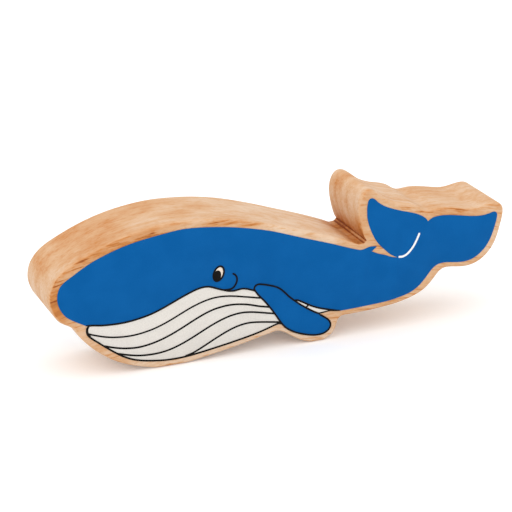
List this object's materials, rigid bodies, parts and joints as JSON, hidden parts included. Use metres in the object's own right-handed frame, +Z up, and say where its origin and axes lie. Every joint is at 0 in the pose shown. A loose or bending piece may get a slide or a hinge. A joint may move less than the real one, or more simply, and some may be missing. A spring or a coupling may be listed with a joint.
{
  "type": "wooden whale figure",
  "caption": "Chunky whale figure sawn from one wooden plank, with rounded edges and painted broad faces, standing on its throat and flipper.",
  "frame": {"origin": "on the ground, under the middle of the figure's length and of the plank's thickness", "axes": "+X along the length from the nose to the tail, +Y through the plank's thickness to the figure's right face, +Z up"},
  "size_m": [0.1642, 0.0254, 0.0521],
  "materials": {
    "bare_wood": "sanded, unvarnished light wood",
    "blue_paint": "satin acrylic paint on wood",
    "white_paint": "satin off-white acrylic paint on wood",
    "black_ink": "printed black line, satin"
  },
  "bodies": {
    "root": {"wood_body": "bare_wood", "body_coat_left": "blue_paint", "flipper_coat_left": "blue_paint", "throat_coat_left": "white_paint", "rear_throat_coat_left": "white_paint", "eye_white_left": "white_paint", "tail_crease_left": "white_paint", "line_print_left": "black_ink", "eye_print_left": "black_ink", "body_coat_right": "blue_paint", "flipper_coat_right": "blue_paint", "throat_coat_right": "white_paint", "rear_throat_coat_right": "white_paint", "eye_white_right": "white_paint", "tail_crease_right": "white_paint", "line_print_right": "black_ink", "eye_print_right": "black_ink"}
  },
  "joints": []
}
